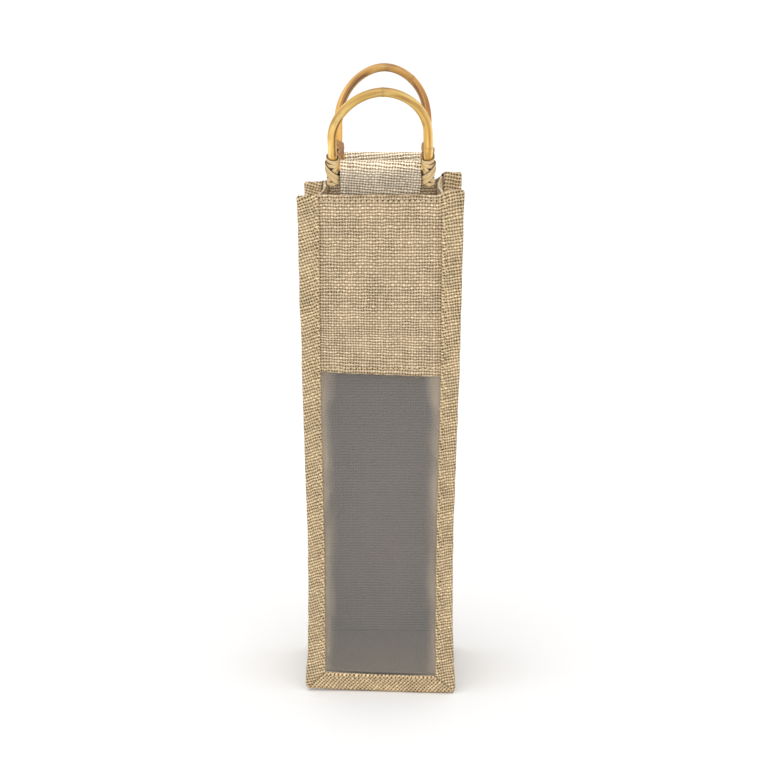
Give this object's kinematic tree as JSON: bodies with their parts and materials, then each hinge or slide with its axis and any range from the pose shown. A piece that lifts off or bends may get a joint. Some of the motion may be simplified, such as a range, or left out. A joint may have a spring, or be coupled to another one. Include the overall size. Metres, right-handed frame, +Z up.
{
  "type": "wine gift bag",
  "caption": "Tall jute bottle bag, standing open, with a clear front window, bound seams that stand out as fins, and bent cane handles held in fabric tabs.",
  "frame": {"origin": "on the ground, under the middle of the whole object's box, handles included", "axes": "+Z up along the bag's height, -Y towards the front with the window, +X to the right as seen from the front"},
  "size_m": [0.111, 0.1428, 0.4293],
  "materials": {
    "jute": "plain woven natural jute, matt, slightly hairy",
    "jute_binding": "folded jute strip cut on the slant, matt",
    "clear_film": "clear soft film, glossy, faintly grey",
    "cane": "peeled and bent cane, clear varnish",
    "rattan": "split rattan strip, satin",
    "steel_pin": "drawn wire"
  },
  "bodies": {
    "bag": {"front_upper_panel": "jute", "back_panel": "jute", "left_gusset": "jute", "right_gusset": "jute", "bottom_gusset": "jute", "front_left_binding": "jute_binding", "front_right_binding": "jute_binding", "front_bottom_binding": "jute_binding", "back_left_binding": "jute_binding", "back_right_binding": "jute_binding", "back_bottom_binding": "jute_binding", "window_sheet": "clear_film"},
    "front_tab_body": {"front_tab": "jute"},
    "front_handle": {"front_handle_arch": "cane", "front_crossbar": "cane", "front_left_lashing": "rattan", "front_left_pin": "steel_pin", "front_right_lashing": "rattan", "front_right_pin": "steel_pin"},
    "rear_tab_body": {"rear_tab": "jute"},
    "rear_handle": {"rear_handle_arch": "cane", "rear_crossbar": "cane", "rear_left_lashing": "rattan", "rear_left_pin": "steel_pin", "rear_right_lashing": "rattan", "rear_right_pin": "steel_pin"}
  },
  "joints": [
    {"name": "front_tab_flex", "type": "hinge", "parent": "bag", "child": "front_tab_body", "pos_m": [0, -0.03355, 0.3518], "axis": [1, 0, 0], "range_deg": [-34, 84]},
    {"name": "front_handle_swing", "type": "hinge", "parent": "front_tab_body", "child": "front_handle", "pos_m": [0, -0.03538, 0.3692], "axis": [1, 0, 0], "range_deg": [-27, 63]},
    {"name": "rear_tab_flex", "type": "hinge", "parent": "bag", "child": "rear_tab_body", "pos_m": [0, 0.04945, 0.3518], "axis": [-1, 0, 0], "range_deg": [-34, 84]},
    {"name": "rear_handle_swing", "type": "hinge", "parent": "rear_tab_body", "child": "rear_handle", "pos_m": [0, 0.0508, 0.36473], "axis": [-1, 0, 0], "range_deg": [-10, 80]}
  ]
}
